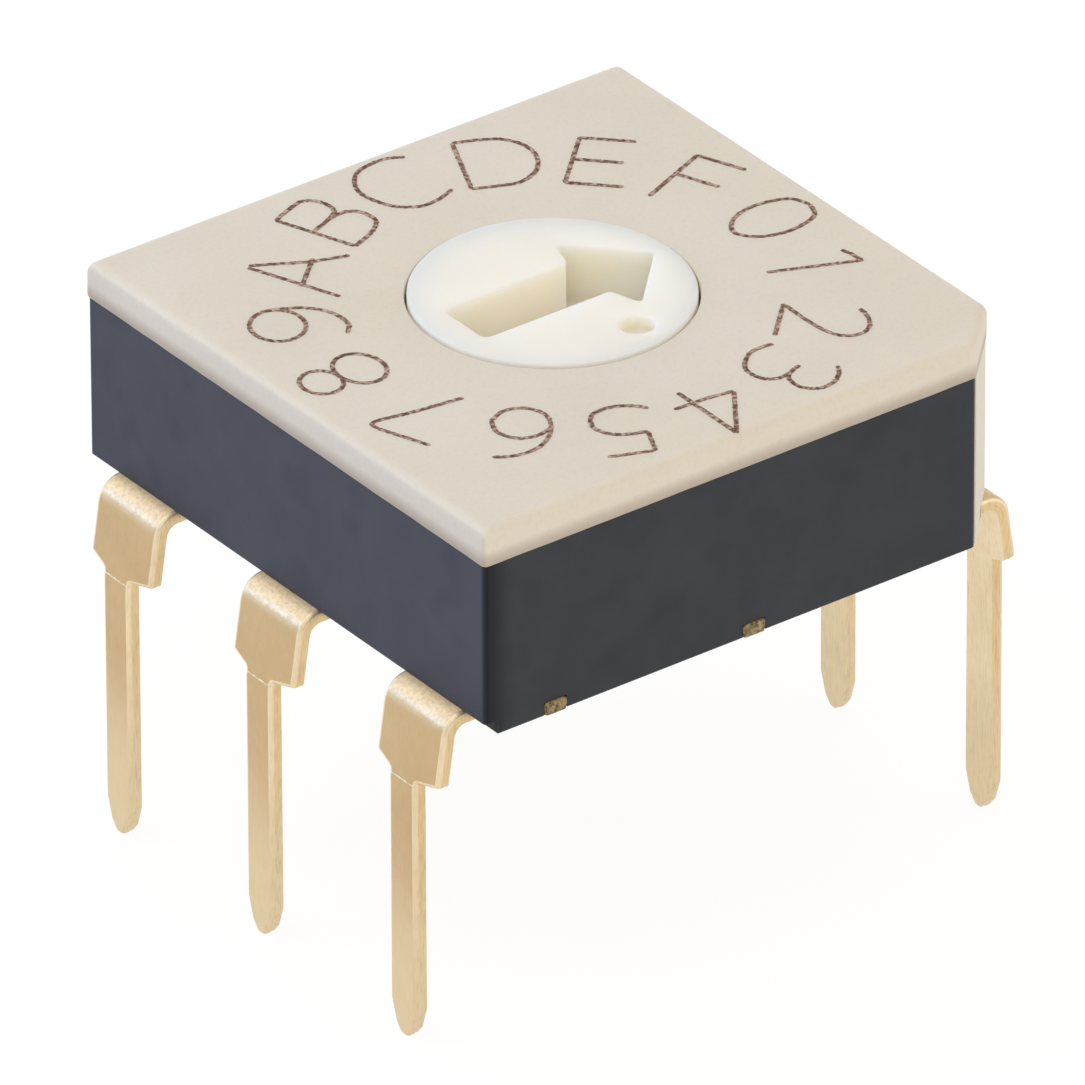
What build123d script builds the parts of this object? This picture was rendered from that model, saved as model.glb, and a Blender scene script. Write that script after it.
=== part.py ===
from build123d import *
import os
from math import cos, radians, sin, sqrt, tan

# Rotary coding switch, 7 mm square, for through-hole boards. Millimetres, +Z up.
# The origin is the middle of the switch on the plane of the six terminal tips.
# The terminal rows lie along Y at the -X and +X faces. The arrow points to 0 at +X.

# Terminals: one sheet, six legs on a 2.54 mm grid. Their standoff sets the rows 7.62 mm apart
sheet = 0.15
pin_spacing = 2.54
row_standoff = 0.467
terminal_drop = 3.97
bend_radius = 0.30
shoulder_lean = 8.5
knee_drop = 0.86
shoulder_width = 1.06
shoulder_offset = 0.06
shoulder_drop = 0.68
shoulder_slope = 0.10
leg_width = 0.45
tip_height = 0.38
tip_shoulder = 0.12
tip_shoulder_width = 0.29
tip_flat = 0.10
edge_rollover = 0.03

# Frame plates inside the base
plate_width = 0.60
plate_margin = 0.25
tie_bar_width = 0.30
tie_bar_inset = 0.75
tie_bar_proud = 0.03

# Contact fingers, coined thinner than the sheet
finger_sheet = 0.08
finger_play = 0.10
finger_rise = 0.12
finger_length = 1.75
finger_end = 0.15
finger_end_drop = 0.075
finger_gap = 0.02
finger_bend = 0.12
common_root_inset = 0.60
pocket_margin = 0.05

# Base
body_side = 7.0
base_height = 2.07
corner_cut = 0.60
skirt_inset = 0.157
base_edge_radius = 0.05
floor_height = 0.45
wall = 0.55
boss_wall = 0.16
boss_gap = 0.15
pivot_floor = 0.25

# Cover
cover_overhang = 0.022
cover_thickness = 0.42
cover_edge_radius = 0.12
cover_corner_radius = 0.10
bore_clearance = 0.025
bore_edge = 0.02
plug_clearance = 0.05
leg_thickness = 0.15
leg_margin = 0.04
leg_clearance = 0.01
leg_end = 0.20
foot_end = 0.02
foot_gap = 0.05

# Rotor
neck_radius = 1.535
rotor_proud = 0.04
rotor_edge_radius = 0.04
flange_play = 0.20
notch_depth = 0.23
notch_rounding = 0.12
positions = 16
flange_clearance = 0.04
hub_radius = 0.50
hub_flat = 0.42
hub_clearance = 0.02
pivot_radius = 0.38
pivot_clearance = 0.03
pivot_end_gap = 0.05

# Driver slot, an arrow that points to +X, and the round mark beside it
slot_depth = 0.65
slot_margin = 0.375
slot_half_width = 0.37
slot_neck = 0.48
barb_x = 0.60
barb_y = 0.76
arrow_margin = 0.195
arrow_rounding = 0.04
shaft_rounding = 0.09
dot_radius = 0.19
dot_depth = 0.15
dot_margin = 0.20
dot_angle = -75.8

# Code disc: a common ring and one track for each bit, stamped in one piece
disc_thickness = 0.10
disc_height = 0.95
disc_inset = 0.01
common_contact = 0.80
common_ring = 0.99
track_trim = 2.5

# Click spring: a leaf across the (-X, +Y) corner with a nose in the notches
spring_sheet = 0.08
spring_margin = 0.07
spring_angle = 135
spring_gap = 0.11
spring_half_length = 1.38
nose_half_width = 0.50
nose_gap = 0.03
nose_bend = 0.15
pocket_half_length = 1.0
pocket_back = 0.32
slot_play = 0.02

# Sealing ring, cut square, between the rotor's neck and the cover's plug
ring_section = 0.43
ring_play = 0.01
ring_side_play = 0.0175

# Levels above the terminal tips
underside = terminal_drop
sheet_top = underside + sheet
floor_top = underside + floor_height
base_top = underside + base_height
cover_top = base_top + cover_thickness
rotor_top = cover_top + rotor_proud
disc_bottom = underside + disc_height
flange_bottom = disc_bottom + disc_thickness
flange_top = base_top - ring_section - 2 * ring_play
plug_bottom = flange_top + flange_clearance
finger_root = floor_top + finger_rise
contact_level = disc_bottom - finger_gap
pivot_bottom = underside + pivot_floor + pivot_end_gap

# Distances from the rotor's axis
half_body = body_side / 2
skirt_x = half_body - skirt_inset
outer_x = skirt_x + row_standoff + sheet / 2
knee_level = underside - knee_drop
bend_x = outer_x - (sheet_top - knee_level) * tan(radians(shoulder_lean))
tie_bar_x = skirt_x - tie_bar_inset
bar_end = half_body + tie_bar_proud
cavity_radius = half_body - wall
flange_crest = cavity_radius - flange_play
notch_bottom = flange_crest - notch_depth
spring_line = flange_crest + spring_gap
common_root = cavity_radius - common_root_inset
bore_radius = neck_radius + bore_clearance
plug_radius = cavity_radius - plug_clearance
ring_inner_radius = neck_radius + ring_side_play
plug_inner_radius = ring_inner_radius + ring_section + ring_side_play
socket_radius = pivot_radius + pivot_clearance
cut_face = (body_side - corner_cut) * cos(radians(45))
blade_side = pin_spacing + shoulder_width / 2 - shoulder_offset

# Angles and tracks of the code: one step is a click, and each bit has the next track outward
click = 360 / positions
bit_side = {1: 180, 2: 180, 4: 0, 8: 0}
track_pitch = (notch_bottom - disc_inset - common_ring) / len(bit_side)
bit_radius = {bit: common_ring + track_pitch * (n + 0.5) for n, bit in enumerate(bit_side)}
finger_width = track_pitch - finger_play


def prism(points, bottom, top):
    """Upright prism over a plan outline."""
    return extrude(Plane.XY.offset(bottom) * make_face(Polyline(*points, close=True)), top - bottom)


def block(x0, x1, y0, y1, bottom, top):
    """Upright block between two corners in plan."""
    return prism([(x0, y0), (x1, y0), (x1, y1), (x0, y1)], bottom, top)


def post(radius, bottom, top):
    """Round post on the rotor's axis."""
    return extrude(Plane.XY.offset(bottom) * Circle(radius), top - bottom)


def bent_strip(points, radius, thickness, side):
    """Section of a bent strip: a path with rounded corners, given its thickness to one side."""
    path = FilletPolyline(*points, radius=radius)
    return make_face(path.wire().offset_2d(thickness, side=side))


def body_plan():
    """Plan of the base: a square with its (+X, -Y) corner cut off."""
    half = half_body
    cut = half_body - corner_cut
    points = [(-half, -half), (cut, -half), (half, -cut), (half, half), (-half, half)]
    return make_face(Polyline(*points, close=True))


# Terminals

def blade():
    """Pin of the -X row at y = 0: out of the base's wall, a leaning shoulder, and a leg with a taper."""
    path = [
        (plate_margin - skirt_x, sheet_top), (-bend_x, sheet_top), (-outer_x, knee_level), (-outer_x, 0),
    ]
    section = Plane.XZ * bent_strip(path, bend_radius, sheet, Side.LEFT)
    bent_sheet = extrude(section, shoulder_width, both=True)

    near = -shoulder_width / 2 - shoulder_offset
    far = shoulder_width / 2 - shoulder_offset
    shoulder_low = underside - shoulder_drop
    leg_high = shoulder_low - shoulder_slope
    outline = [
        (near, sheet_top), (near, shoulder_low), (-leg_width / 2, leg_high),
        (-leg_width / 2, tip_height), (-tip_shoulder_width / 2, tip_shoulder), (-tip_flat / 2, 0),
        (tip_flat / 2, 0), (tip_shoulder_width / 2, tip_shoulder), (leg_width / 2, tip_height),
        (leg_width / 2, leg_high), (far, shoulder_low), (far, sheet_top),
    ]
    stamping = extrude(Plane.YZ * make_face(Polyline(*outline, close=True)), outer_x, both=True)
    pin = bent_sheet & stamping
    punched_side = pin.faces().filter_by(lambda face: face.normal_at().X < -0.1)
    return fillet(punched_side.edges().filter_by(Axis.Y, reverse=True), edge_rollover)


def plate(x0, x1, y0, y1):
    """Flat stretch of the frame, flush with the underside."""
    return block(x0, x1, y0, y1, underside, sheet_top)


def finger(x, root_y, contact_y):
    """Riser out of the plate at root_y, and the coined finger from it to the disc at contact_y."""
    way = 1 if root_y > contact_y else -1
    path = [
        (root_y + way * sheet, finger_root),
        (root_y - way * sheet, finger_root),
        (contact_y, contact_level),
        (contact_y - way * finger_end, contact_level - finger_end_drop),
    ]
    lower_side = Side.LEFT if way > 0 else Side.RIGHT
    section = Plane.YZ.offset(x) * bent_strip(path, finger_bend, finger_sheet, lower_side)
    riser_ends = sorted((root_y, root_y + way * sheet))
    riser = block(x - finger_width / 2, x + finger_width / 2, *riser_ends, underside, finger_root)
    return riser + extrude(section, finger_width / 2, both=True)


def corner_terminal(bit, row_end, with_tie_bar):
    """Terminal of the -X row at one end of it, with its finger on one bit's track."""
    track = -bit_radius[bit]
    half_plate = plate_width / 2
    half_riser = finger_width / 2
    pocket_radius = cavity_radius - pocket_margin
    room_y = sqrt(pocket_radius ** 2 - (bit_radius[bit] + half_riser) ** 2)
    root_y = row_end * min(finger_length, room_y)
    pin_y = row_end * pin_spacing
    inward = sorted((root_y, pin_y))
    shape = Pos(0, pin_y, 0) * blade()
    shape += plate(plate_margin - skirt_x, track + half_riser, pin_y - half_plate, pin_y + half_plate)
    shape += plate(track - half_riser, track + half_riser, *inward)
    shape += finger(track, root_y, 0)
    if with_tie_bar:
        outward = sorted((pin_y, row_end * bar_end))
        half_bar = tie_bar_width / 2
        shape += plate(-tie_bar_x - half_bar, -tie_bar_x + half_bar, *outward)
    return shape


def common_terminal():
    """Both middle pins on one frame, with a tie bar and a finger to each side."""
    half_plate = plate_width / 2
    half_bar = tie_bar_width / 2
    inner_end = skirt_x - plate_margin
    shape = blade() + Rot(0, 0, 180) * blade()
    shape += plate(-inner_end, inner_end, -half_plate, half_plate)
    shape += plate(-half_bar, half_bar, -bar_end, bar_end)
    for way in (1, -1):
        shape += finger(0, way * common_root, way * common_contact)
    return shape


# Code disc

def annular_sector(inner, outer, start, end):
    """Face between two radii and two angles in degrees."""
    rim = CenterArc((0, 0), outer, start, end - start)
    bore = CenterArc((0, 0), inner, start, end - start)
    return make_face([rim, Line(rim @ 1, bore @ 1), bore, Line(bore @ 0, rim @ 0)])


def keyed_disc(radius, flat):
    """Round face with one flat, for the hub and the hole that it drives."""
    return Circle(radius) - Pos(flat + radius, 0) * Rectangle(2 * radius, 2 * radius)


def make_code_disc():
    """Common ring with an arc on a bit's track for every run of positions that has this bit."""
    disc = extrude(Circle(common_ring), disc_thickness)
    for bit in bit_side:
        for first in range(bit, positions, 2 * bit):
            start = bit_side[bit] + (first - 0.5) * click + track_trim
            end = bit_side[bit] + (first + bit - 0.5) * click - track_trim
            inner = bit_radius[bit] - track_pitch / 2
            disc += extrude(annular_sector(inner, inner + track_pitch, start, end), disc_thickness)
    disc -= extrude(keyed_disc(hub_radius + hub_clearance, hub_flat + hub_clearance), disc_thickness)
    return Pos(0, 0, disc_bottom) * disc


# Rotor

def notched_rim():
    """Plan of the flange: a crest between every two click positions."""
    points = []
    for step in range(2 * positions):
        radius = flange_crest if step % 2 else notch_bottom
        angle = radians(step * click / 2)
        points.append((radius * cos(angle), radius * sin(angle)))
    rim = make_face(Polyline(*points, close=True))
    return fillet(rim.vertices(), notch_rounding)


def driver_slot():
    """Plan of the arrow-shaped slot."""
    start = slot_margin - neck_radius
    tip = neck_radius - arrow_margin
    points = [
        (start, -slot_half_width), (slot_neck, -slot_half_width), (barb_x, -barb_y),
        (tip, 0), (barb_x, barb_y), (slot_neck, slot_half_width), (start, slot_half_width),
    ]
    arrow = make_face(Polyline(*points, close=True))
    arrow = fillet(arrow.vertices().filter_by_position(Axis.X, start, slot_neck), shaft_rounding)
    return fillet(arrow.vertices().filter_by_position(Axis.X, barb_x, tip), arrow_rounding)


def make_rotor():
    """Neck with the driver slot, notched flange, keyed hub and pivot, moulded in one."""
    neck = post(neck_radius, flange_top, rotor_top)
    neck = fillet(neck.edges().sort_by(Axis.Z)[-1], rotor_edge_radius)
    flange_thickness = flange_top - flange_bottom
    rotor = neck + extrude(Plane.XY.offset(flange_bottom) * notched_rim(), flange_thickness)
    rotor += extrude(Plane.XY.offset(disc_bottom) * keyed_disc(hub_radius, hub_flat), disc_thickness)
    rotor += post(pivot_radius, pivot_bottom, disc_bottom)
    rotor -= extrude(Plane.XY.offset(rotor_top) * driver_slot(), -slot_depth)
    dot = post(dot_radius, rotor_top - dot_depth, rotor_top)
    dot_place = neck_radius - dot_margin - dot_radius
    return rotor - Rot(0, 0, dot_angle) * Pos(dot_place, 0, 0) * dot


# Click spring

def make_click_spring():
    """Leaf on edge across a corner of the base, bent to a nose that stands in a notch."""
    path = [
        (spring_line, -spring_half_length), (spring_line, -nose_half_width),
        (notch_bottom + nose_gap, 0),
        (spring_line, nose_half_width), (spring_line, spring_half_length),
    ]
    section = bent_strip(path, nose_bend, spring_sheet, Side.RIGHT)
    spring_height = flange_top - flange_bottom - spring_margin
    leaf = extrude(Plane.XY.offset(flange_bottom) * section, spring_height)
    return Rot(0, 0, spring_angle) * leaf


def spring_pocket():
    """Room for the nose to spring back, and the two slots that hold the leaf's ends."""
    back = spring_line + spring_sheet
    half_slot = spring_half_length + slot_play
    pocket = block(notch_bottom, back + pocket_back, -pocket_half_length, pocket_half_length,
                   flange_bottom, base_top)
    pocket += block(spring_line - slot_play, back + slot_play, -half_slot, half_slot,
                    flange_bottom, base_top)
    return Rot(0, 0, spring_angle) * pocket


# Base and cover

def corner_leg(clearance, depth):
    """Leg of the cover down the cut corner, with a foot that passes beside the blade.

    With a clearance it is the groove for them.
    """
    half = corner_cut * cos(radians(45)) - leg_margin + clearance
    inner = cut_face - leg_thickness
    foot_side = inner - (blade_side + foot_gap) / cos(radians(45)) + clearance
    leg_bottom = underside + leg_end - clearance
    foot_bottom = underside + foot_end - 3 * clearance
    leg = block(inner - clearance, cut_face + depth, -half, half, leg_bottom, base_top)
    leg += block(inner - clearance, cut_face + depth, -half, foot_side, foot_bottom, leg_bottom)
    return Rot(0, 0, -45) * leg


def make_base(terminals):
    """Black housing, moulded round the terminals' frame."""
    base = extrude(Plane.XY.offset(underside) * body_plan(), base_height)
    base = fillet(base.edges().filter_by(Axis.Z), base_edge_radius)
    for side in (1, -1):
        step_x = sorted((side * skirt_x, side * body_side))
        base -= block(*step_x, -body_side, body_side, underside, sheet_top)
    base -= post(cavity_radius, floor_top, base_top)
    base += post(socket_radius + boss_wall, floor_top, disc_bottom - boss_gap)
    base -= post(socket_radius, underside + pivot_floor, base_top)
    base -= spring_pocket()
    base -= corner_leg(leg_clearance, corner_cut)
    for terminal in terminals:
        base -= terminal
    return base


def make_cover():
    """Cream plate with the rotor's bore, a plug into the base's cavity and the corner leg."""
    plan = offset(body_plan(), cover_overhang, kind=Kind.INTERSECTION)
    cover = extrude(Plane.XY.offset(base_top) * plan, cover_thickness)
    cover = fillet(cover.edges().filter_by(Axis.Z), cover_corner_radius)
    cover = fillet(cover.faces().sort_by(Axis.Z)[-1].edges(), cover_edge_radius)
    plug = post(plug_radius, plug_bottom, base_top)
    cover += plug - post(plug_inner_radius, plug_bottom, base_top)
    cover -= post(bore_radius, plug_bottom, cover_top)
    cover += corner_leg(0, 0)
    bore_rim = cover.faces().sort_by(Axis.Z)[-1].inner_wires()[0]
    return fillet(bore_rim.edges(), bore_edge)


def make_seal_ring():
    """Sealing ring on the flange, round the neck and inside the cover's plug."""
    bottom = flange_top + ring_play
    outside = post(ring_inner_radius + ring_section, bottom, bottom + ring_section)
    return outside - post(ring_inner_radius, bottom, bottom + ring_section)


terminals = {
    "common_terminal": common_terminal(),
    "terminal_1": corner_terminal(1, 1, False),
    "terminal_2": corner_terminal(2, -1, True),
    "terminal_4": Rot(0, 0, 180) * corner_terminal(4, -1, True),
    "terminal_8": Rot(0, 0, 180) * corner_terminal(8, 1, False),
}
parts = dict(terminals)
parts["base_housing"] = make_base(terminals.values())
parts["cover"] = make_cover()
parts["rotor"] = make_rotor()
parts["code_disc"] = make_code_disc()
parts["click_spring"] = make_click_spring()
parts["seal_ring"] = make_seal_ring()

os.makedirs("parts", exist_ok=True)
for name, shape in parts.items():
    export_step(shape, f"parts/{name}.step")
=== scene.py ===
from math import atan2, cos, hypot, pi, radians, sin, tan

import bmesh
import bpy
from mathutils import Matrix, Vector, noise


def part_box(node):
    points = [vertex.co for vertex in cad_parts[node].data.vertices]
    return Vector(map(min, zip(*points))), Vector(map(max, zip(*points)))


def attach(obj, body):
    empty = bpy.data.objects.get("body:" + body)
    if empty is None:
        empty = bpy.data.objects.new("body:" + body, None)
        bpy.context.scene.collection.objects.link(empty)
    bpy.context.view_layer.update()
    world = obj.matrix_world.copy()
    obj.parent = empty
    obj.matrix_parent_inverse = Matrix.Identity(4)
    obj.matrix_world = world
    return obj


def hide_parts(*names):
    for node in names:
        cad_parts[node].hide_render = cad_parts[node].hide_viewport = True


# Rotary coding switch, dressed for the render. Lengths are in millimetres, in the frame of the CAD
# model, until a piece is made: there they become metres.
MM = 0.001

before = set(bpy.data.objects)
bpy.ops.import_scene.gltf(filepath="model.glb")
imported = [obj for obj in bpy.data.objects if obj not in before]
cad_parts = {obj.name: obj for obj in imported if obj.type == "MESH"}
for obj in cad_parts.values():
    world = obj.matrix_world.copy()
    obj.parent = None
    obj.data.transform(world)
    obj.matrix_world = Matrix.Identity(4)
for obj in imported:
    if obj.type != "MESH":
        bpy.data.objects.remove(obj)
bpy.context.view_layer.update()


# Sizes taken from the frame

def extent(node):
    """Lowest and highest corner of a CAD node in millimetres."""
    low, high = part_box(node)
    return low / MM, high / MM


base_low, base_high = extent("base_housing")
cover_low, cover_high = extent("cover")
rotor_low, rotor_high = extent("rotor")
common_low, common_high = extent("common_terminal")
disc_low, disc_high = extent("code_disc")
ring_low, ring_high = extent("seal_ring")

underside = base_low.z
base_top = base_high.z
cover_top = cover_high.z
rotor_top = rotor_high.z
half_body = base_high.x
overhang = cover_high.x - base_high.x
outer_x = common_high.x
bar_end = common_high.y

# Sizes of the moulded parts
ring_play = 0.01
neck_radius = 1.535
bore_radius = 1.56
bore_edge = 0.02
plug_radius = 2.90
plug_inner_radius = 2.0
flange_clearance = 0.04
flange_top = ring_low.z - ring_play
plug_bottom = flange_top + flange_clearance
corner_cut = 0.60
cover_corner = 0.07
cover_top_corner = 0.20
cover_edge = 0.12
leg_thickness = 0.15
leg_margin = 0.04
leg_end = 0.20
foot_side = 0.0475

flange_bottom = disc_high.z
flange_crest = rotor_high.x / cos(radians(11.25))
notch_depth = 0.23
notch_rounding = 0.12
positions = 16
hub_radius = 0.50
hub_flat = 0.42
pivot_radius = 0.38
rotor_edge = 0.03

slot_depth = 0.65
slot_start = -1.16
slot_half_width = 0.37
slot_neck = 0.48
barb_x = 0.60
barb_y = 0.76
arrow_tip = 1.34
shaft_rounding = 0.09
arrow_rounding = 0.04
slot_edge = 0.025
slot_floor_rounding = 0.06
dot_radius = 0.19
dot_depth = 0.15
dot_edge = 0.02
dot_x = 0.28
dot_y = -1.11

# Sizes of the terminals
sheet = 0.15
pin_spacing = 2.54
bend_radius = 0.30
lean = radians(8.5)
knee_drop = 0.86
blade_near = -0.59
blade_far = 0.47
shoulder_drop = 0.68
shoulder_slope = 0.10
leg_width = 0.45
tip_height = 0.38
tip_shoulder = 0.12
tip_shoulder_width = 0.29
tip_flat = 0.10
rollover = 0.045
stub_rounding = 0.05
fracture_depth = 0.09
fracture_inset = 0.007
blade_root = 3.093
plate_half_width = 0.30
tie_bar_x = 2.593
tie_bar_half_width = 0.15
finger_half_width = 0.14
finger_sheet = 0.08
finger_root = 4.54
finger_length = 1.75
finger_end = 0.15
finger_end_drop = 0.075
finger_bend = 0.12
contact_gap = 0.02
common_root = 2.35
common_contact = 0.80
bit_radius = {1: 1.18, 2: 1.56, 4: 1.94, 8: 2.32}
bit_root = {1: 1.75, 2: 1.75, 4: 1.75, 8: 1.536}
bend_steps = 12
knee_steps = 3
crease_height = 3.15
crease_half_width = 0.012
crease_depth = 0.006

sheet_top = underside + sheet
contact_level = disc_low.z - contact_gap

# The bends along the strip's outer face: a distance from the middle of the flat strip for each place
knee_level = underside - knee_drop
first_turn = pi / 2 - lean
bend_reach = bend_radius * tan(first_turn / 2)
knee_reach = bend_radius * tan(lean / 2)
bend_start = outer_x - (sheet_top - knee_level) * tan(lean) - bend_reach
slope_start = bend_start + bend_radius * first_turn
slope_top = sheet_top - bend_reach * cos(lean)
slope_length = (sheet_top - knee_level) / cos(lean) - bend_reach - knee_reach
knee_start = slope_start + slope_length
leg_start = knee_start + bend_radius * lean
leg_top = knee_level - knee_reach


# Outlines in plan

least_radius = 0.004


def rounded(corners, inset=0.0, steps=6, run=None):
    """Closed outline through corners (x, y, radius), anticlockwise, moved inward by inset.

    A corner with a radius becomes an arc, never sharper than least_radius. With run, straight sides
    are divided to about that length.
    """
    points = []
    count = len(corners)
    for i, (x, y, radius) in enumerate(corners):
        here = Vector((x, y))
        before = Vector(corners[i - 1][:2])
        after = Vector(corners[(i + 1) % count][:2])
        into = (here - before).normalized()
        out = (after - here).normalized()
        turn = atan2(into.cross(out), into.dot(out))
        left_in = Vector((-into.y, into.x))
        left_out = Vector((-out.y, out.x))
        if radius == 0:
            middle = (left_in + left_out).normalized()
            points.append(here + middle * (inset / cos(turn / 2)))
        else:
            side = 1 if turn > 0 else -1
            left = max(radius - side * inset, least_radius)
            reach = left + side * inset
            centre = here - into * reach * tan(abs(turn) / 2) + left_in * side * reach
            spoke = -left_in * side * left
            for k in range(steps + 1):
                points.append(centre + Matrix.Rotation(turn * k / steps, 2) @ spoke)
        if run:
            parts = max(1, round((after - here).length / run))
            start = points[-1].copy()
            points.append((start, parts))
    return divided(points) if run else points


def divided(points):
    """Replace each mark (start, parts) in a list of points by the points between its neighbours."""
    first = next(p for p in points if isinstance(p, Vector))
    result = []
    for i, point in enumerate(points):
        if isinstance(point, Vector):
            result.append(point)
            continue
        start, parts = point
        end = points[i + 1] if i + 1 < len(points) else first
        result += [start.lerp(end, k / parts) for k in range(1, parts)]
    return result


def circle(radius, count=128, x=0.0, y=0.0):
    """Outline of a round post or hole."""
    return [
        Vector((x + radius * cos(2 * pi * k / count), y + radius * sin(2 * pi * k / count)))
        for k in range(count)
    ]


def anticlockwise(corners):
    """The corners in anticlockwise order."""
    area = sum(a[0] * b[1] - b[0] * a[1] for a, b in zip(corners, corners[1:] + corners[:1]))
    return corners if area > 0 else corners[::-1]


def quarter(steps):
    """Steps of a quarter-round edge: share of the radius gone inward and share gone down."""
    return [(1 - sin(pi / 2 * k / steps), 1 - cos(pi / 2 * k / steps)) for k in range(steps + 1)]


# Mesh building

def add_loop(bm, points, z):
    """Vertices of a closed outline at one height."""
    return [bm.verts.new((p[0], p[1], z)) for p in points]


def add_wall(bm, loops, index=0):
    """Faces between successive loops with the same number of points."""
    for low, high in zip(loops, loops[1:]):
        for i in range(len(low)):
            bm.faces.new((low[i - 1], low[i], high[i], high[i - 1])).material_index = index


def add_flat(bm, *loops, index=0):
    """Flat face inside a loop, less the holes that further loops make in it."""
    edges = []
    for loop in loops:
        for i in range(len(loop)):
            ends = (loop[i - 1], loop[i])
            edges.append(bm.edges.get(ends) or bm.edges.new(ends))
    filled = bmesh.ops.triangle_fill(bm, edges=edges, use_beauty=True, use_dissolve=False)
    for item in filled["geom"]:
        if isinstance(item, bmesh.types.BMFace):
            item.material_index = index


def make_piece(name, bm, body, materials, replaced=(), crease=32):
    """Turn a mesh in millimetres into a piece of the scene that rides on a body."""
    bmesh.ops.recalc_face_normals(bm, faces=bm.faces)
    bmesh.ops.scale(bm, vec=(MM, MM, MM), verts=bm.verts)
    mesh = bpy.data.meshes.new(name)
    bm.to_mesh(mesh)
    bm.free()
    mesh.shade_smooth()
    mesh.set_sharp_from_angle(angle=radians(crease))
    for material in materials:
        mesh.materials.append(material)
    piece = bpy.data.objects.new(name, mesh)
    bpy.context.scene.collection.objects.link(piece)
    weighted = piece.modifiers.new("flat faces stay flat", "WEIGHTED_NORMAL")
    weighted.keep_sharp = True
    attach(piece, body)
    if replaced:
        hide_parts(*replaced)
    return piece


# Procedural materials

class Finish:
    """A principled material and short ways to add its texture nodes. Texture sizes are in millimetres."""

    def __init__(self, name, sockets):
        self.material = bpy.data.materials.new(name)
        self.material.use_nodes = True
        self.tree = self.material.node_tree
        self.tree.nodes.clear()
        self.shader = self.tree.nodes.new("ShaderNodeBsdfPrincipled")
        output = self.tree.nodes.new("ShaderNodeOutputMaterial")
        self.tree.links.new(self.shader.outputs["BSDF"], output.inputs["Surface"])
        self.place = self.tree.nodes.new("ShaderNodeTexCoord").outputs["Object"]
        for socket, value in sockets.items():
            self.shader.inputs[socket].default_value = value

    def link(self, output, socket):
        """Drive one of the shader's sockets."""
        self.tree.links.new(output, self.shader.inputs[socket])

    def noise(self, size, detail=3.0, rough=0.5, stretch=(1, 1, 1), shift=0.0):
        """Noise with features of about this size, longer along the axes with a large stretch."""
        mapping = self.tree.nodes.new("ShaderNodeMapping")
        mapping.inputs["Scale"].default_value = [1 / (size * MM * s) for s in stretch]
        mapping.inputs["Location"].default_value = (shift, shift, shift)
        texture = self.tree.nodes.new("ShaderNodeTexNoise")
        texture.inputs["Scale"].default_value = 1.0
        texture.inputs["Detail"].default_value = detail
        texture.inputs["Roughness"].default_value = rough
        self.tree.links.new(self.place, mapping.inputs["Vector"])
        self.tree.links.new(mapping.outputs["Vector"], texture.inputs["Vector"])
        return texture.outputs["Fac"]

    def ramp(self, value, *stops):
        """Colours or greys along a value: stops are (place, colour or grey)."""
        node = self.tree.nodes.new("ShaderNodeValToRGB")
        elements = node.color_ramp.elements
        while len(elements) < len(stops):
            elements.new(0.5)
        for element, (place, colour) in zip(elements, stops):
            element.position = place
            element.color = (*colour, 1) if isinstance(colour, tuple) else (colour, colour, colour, 1)
        self.tree.links.new(value, node.inputs["Fac"])
        return node.outputs["Color"]

    def mix(self, kind, factor, first, second):
        """Mix two colours; factor is a number or an output."""
        node = self.tree.nodes.new("ShaderNodeMix")
        node.data_type = "RGBA"
        node.blend_type = kind
        for index, value in ((0, factor), (6, first), (7, second)):
            if isinstance(value, bpy.types.NodeSocket):
                self.tree.links.new(value, node.inputs[index])
            else:
                node.inputs[index].default_value = value
        return node.outputs[2]

    def bump(self, height, depth, strength=1.0, under=None):
        """Bump from a height of 0 to 1 that stands for depth millimetres, over another normal."""
        node = self.tree.nodes.new("ShaderNodeBump")
        node.inputs["Strength"].default_value = strength
        node.inputs["Distance"].default_value = depth * MM
        self.tree.links.new(height, node.inputs["Height"])
        if under is not None:
            self.tree.links.new(under, node.inputs["Normal"])
        return node.outputs["Normal"]

    def along(self, axis, *stops):
        """Value along an axis of the model: stops are (place in millimetres, value from 0 to 1)."""
        split = self.tree.nodes.new("ShaderNodeSeparateXYZ")
        self.tree.links.new(self.place, split.inputs["Vector"])
        (first, start), (last, end) = stops
        node = self.tree.nodes.new("ShaderNodeMapRange")
        node.interpolation_type = "SMOOTHSTEP"
        for index, value in enumerate((first * MM, last * MM, start, end), 1):
            node.inputs[index].default_value = value
        self.tree.links.new(split.outputs[axis], node.inputs["Value"])
        return node.outputs["Result"]

    def soft_edges(self, radius):
        """Normal that rounds the edges of a CAD solid."""
        node = self.tree.nodes.new("ShaderNodeBevel")
        node.samples = 6
        node.inputs["Radius"].default_value = radius * MM
        return node.outputs["Normal"]

    def edge_line(self, radius):
        """Value that is 0 on a face and rises along its edges."""
        facing = self.tree.nodes.new("ShaderNodeVectorMath")
        facing.operation = "DOT_PRODUCT"
        geometry = self.tree.nodes.new("ShaderNodeNewGeometry")
        self.tree.links.new(self.soft_edges(radius), facing.inputs[0])
        self.tree.links.new(geometry.outputs["True Normal"], facing.inputs[1])
        return self.ramp(facing.outputs["Value"], (0.80, 1.0), (0.98, 0.0))


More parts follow.
